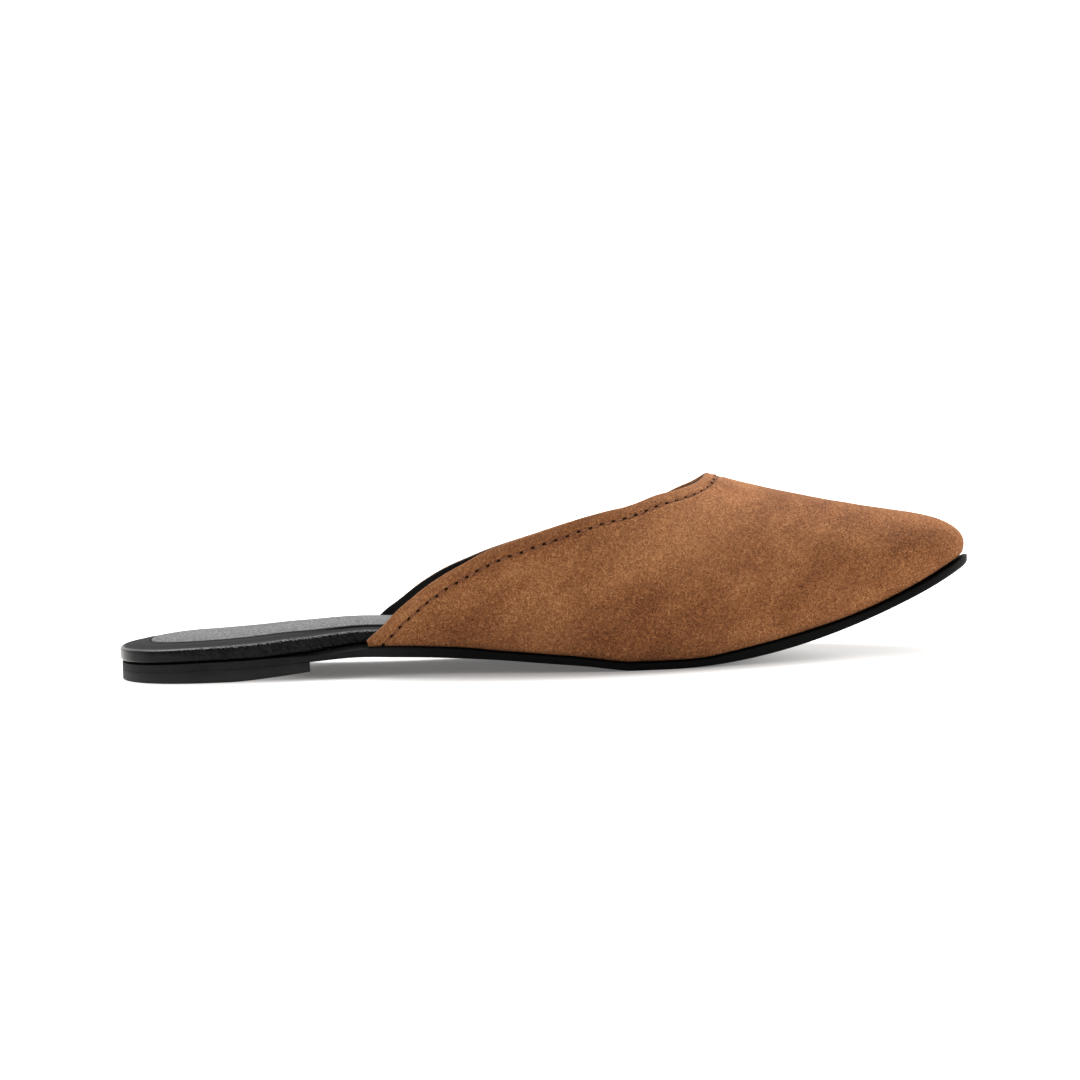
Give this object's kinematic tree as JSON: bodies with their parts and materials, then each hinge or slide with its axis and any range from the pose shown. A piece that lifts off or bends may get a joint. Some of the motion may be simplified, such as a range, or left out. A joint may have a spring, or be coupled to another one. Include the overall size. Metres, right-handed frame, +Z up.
{
  "type": "mule shoe",
  "caption": "Flat, almond-toed backless shoe: a hollow leather vamp open over the instep and heel, on a wrapped footbed and a thin rubber outsole with a low heel lift.",
  "frame": {"origin": "on the floor, under the middle of the shoe's box", "axes": "+X from the heel to the toe, +Y to the inner side of the foot, +Z up"},
  "size_m": [0.262, 0.0774, 0.0558],
  "materials": {
    "upper_nubuck": "matt brushed leather, mottled mid brown",
    "footbed_leather": "glossy creased black leather",
    "sock_leather": "satin black leather",
    "outsole_rubber": "smooth satin black",
    "heel_rubber": "matt black with fine scratches along it"
  },
  "bodies": {
    "root": {"upper": "upper_nubuck", "footbed": "footbed_leather", "sock": "sock_leather", "outsole": "outsole_rubber", "heel_lift": "heel_rubber"}
  },
  "joints": []
}
